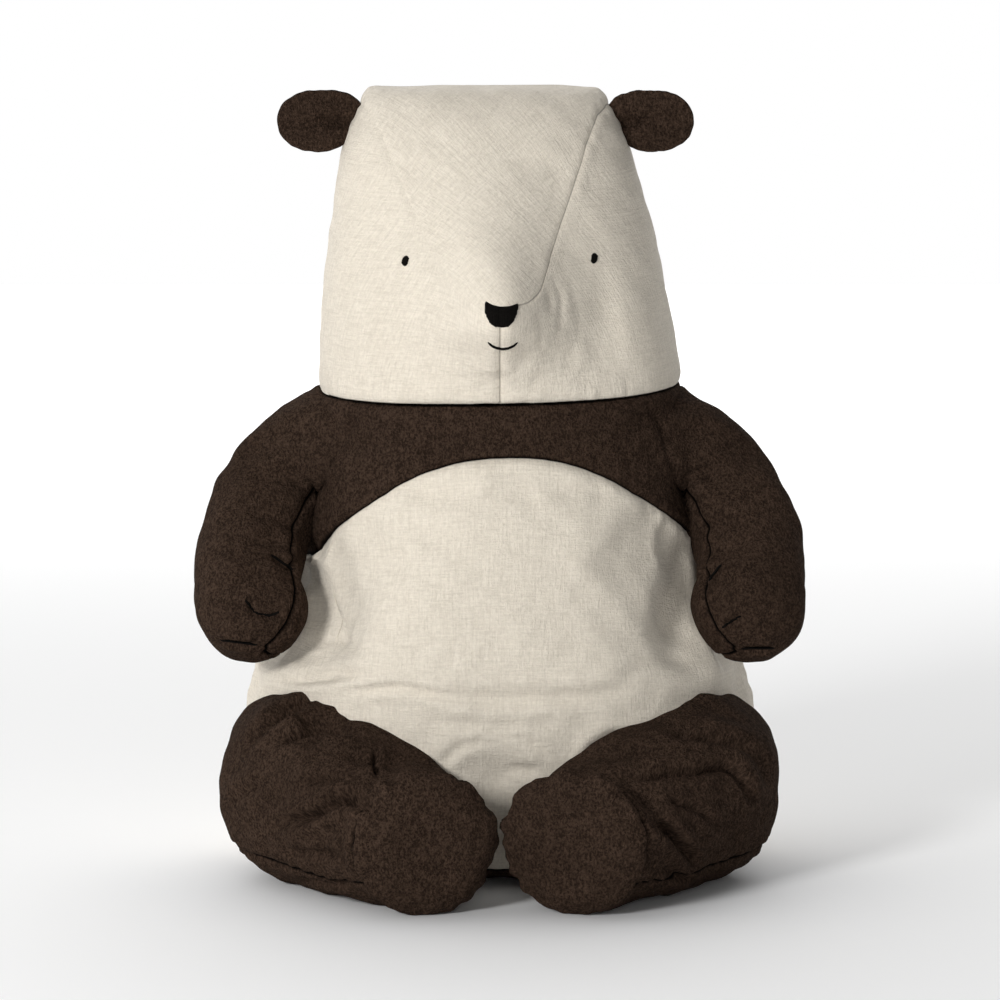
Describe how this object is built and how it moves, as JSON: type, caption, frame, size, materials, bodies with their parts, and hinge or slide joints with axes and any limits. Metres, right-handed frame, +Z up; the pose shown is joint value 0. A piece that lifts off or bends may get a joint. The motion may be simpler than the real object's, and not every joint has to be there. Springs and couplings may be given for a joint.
{
  "type": "stuffed bear",
  "caption": "Large seated stuffed bear with a boxy cream head, dark ears, arms, yoke and legs, a cream belly and a hand-stitched face.",
  "frame": {"origin": "on the floor under the middle of the seated toy", "axes": "+Z up, the toy faces -Y, the toy's own left side is +X"},
  "size_m": [0.4706, 0.4001, 0.6],
  "materials": {
    "cream_linen": "matte",
    "dark_wool": "matte",
    "black_thread": "satin",
    "stuffing": "matte"
  },
  "bodies": {
    "torso": {"yoke_front": "dark_wool", "yoke_back": "dark_wool", "belly_front": "cream_linen", "lower_back": "cream_linen", "base_panel": "dark_wool", "torso_fill": "stuffing"},
    "head": {"head_gusset": "cream_linen", "head_cheek_left": "cream_linen", "head_cheek_right": "cream_linen", "head_fill": "stuffing", "eye_left": "black_thread", "eye_right": "black_thread", "nose": "black_thread", "mouth": "black_thread"},
    "ear_left": {"ear_left_front": "dark_wool", "ear_left_back": "dark_wool", "ear_left_fill": "stuffing"},
    "arm_left": {"arm_left_outer": "dark_wool", "arm_left_inner": "dark_wool", "arm_left_fill": "stuffing", "claws_left": "black_thread"},
    "leg_left": {"leg_left_upper": "dark_wool", "leg_left_lower": "dark_wool", "leg_left_sole": "dark_wool", "leg_left_fill": "stuffing"},
    "ear_right": {"ear_right_front": "dark_wool", "ear_right_back": "dark_wool", "ear_right_fill": "stuffing"},
    "arm_right": {"arm_right_outer": "dark_wool", "arm_right_inner": "dark_wool", "arm_right_fill": "stuffing", "claws_right": "black_thread"},
    "leg_right": {"leg_right_upper": "dark_wool", "leg_right_lower": "dark_wool", "leg_right_sole": "dark_wool", "leg_right_fill": "stuffing"}
  },
  "joints": [
    {"name": "head_nod", "type": "hinge", "parent": "torso", "child": "head", "pos_m": [0, 0.045, 0.371], "axis": [1, 0, 0], "range_deg": [-8, 8], "stiffness_Nm_per_rad": 8},
    {"name": "arm_left_swing", "type": "hinge", "parent": "torso", "child": "arm_left", "pos_m": [0.128, 0.04, 0.332], "axis": [-1, 0, 0], "range_deg": [0, 70], "stiffness_Nm_per_rad": 0.5},
    {"name": "arm_right_swing", "type": "hinge", "parent": "torso", "child": "arm_right", "pos_m": [-0.128, 0.04, 0.332], "axis": [-1, 0, 0], "range_deg": [0, 70], "stiffness_Nm_per_rad": 0.5},
    {"name": "leg_left_spread", "type": "hinge", "parent": "torso", "child": "leg_left", "pos_m": [0.126, 0.014, 0.08], "axis": [0, 0, 1], "range_deg": [0, 25], "stiffness_Nm_per_rad": 1},
    {"name": "leg_right_spread", "type": "hinge", "parent": "torso", "child": "leg_right", "pos_m": [-0.126, 0.014, 0.08], "axis": [0, 0, -1], "range_deg": [0, 25], "stiffness_Nm_per_rad": 1},
    {"name": "ear_left_fold", "type": "hinge", "parent": "head", "child": "ear_left", "pos_m": [0.105, 0.035, 0.576], "axis": [0, 0, 1], "range_deg": [-30, 30], "stiffness_Nm_per_rad": 0.02},
    {"name": "ear_right_fold", "type": "hinge", "parent": "head", "child": "ear_right", "pos_m": [-0.105, 0.035, 0.576], "axis": [0, 0, -1], "range_deg": [-30, 30], "stiffness_Nm_per_rad": 0.02}
  ]
}
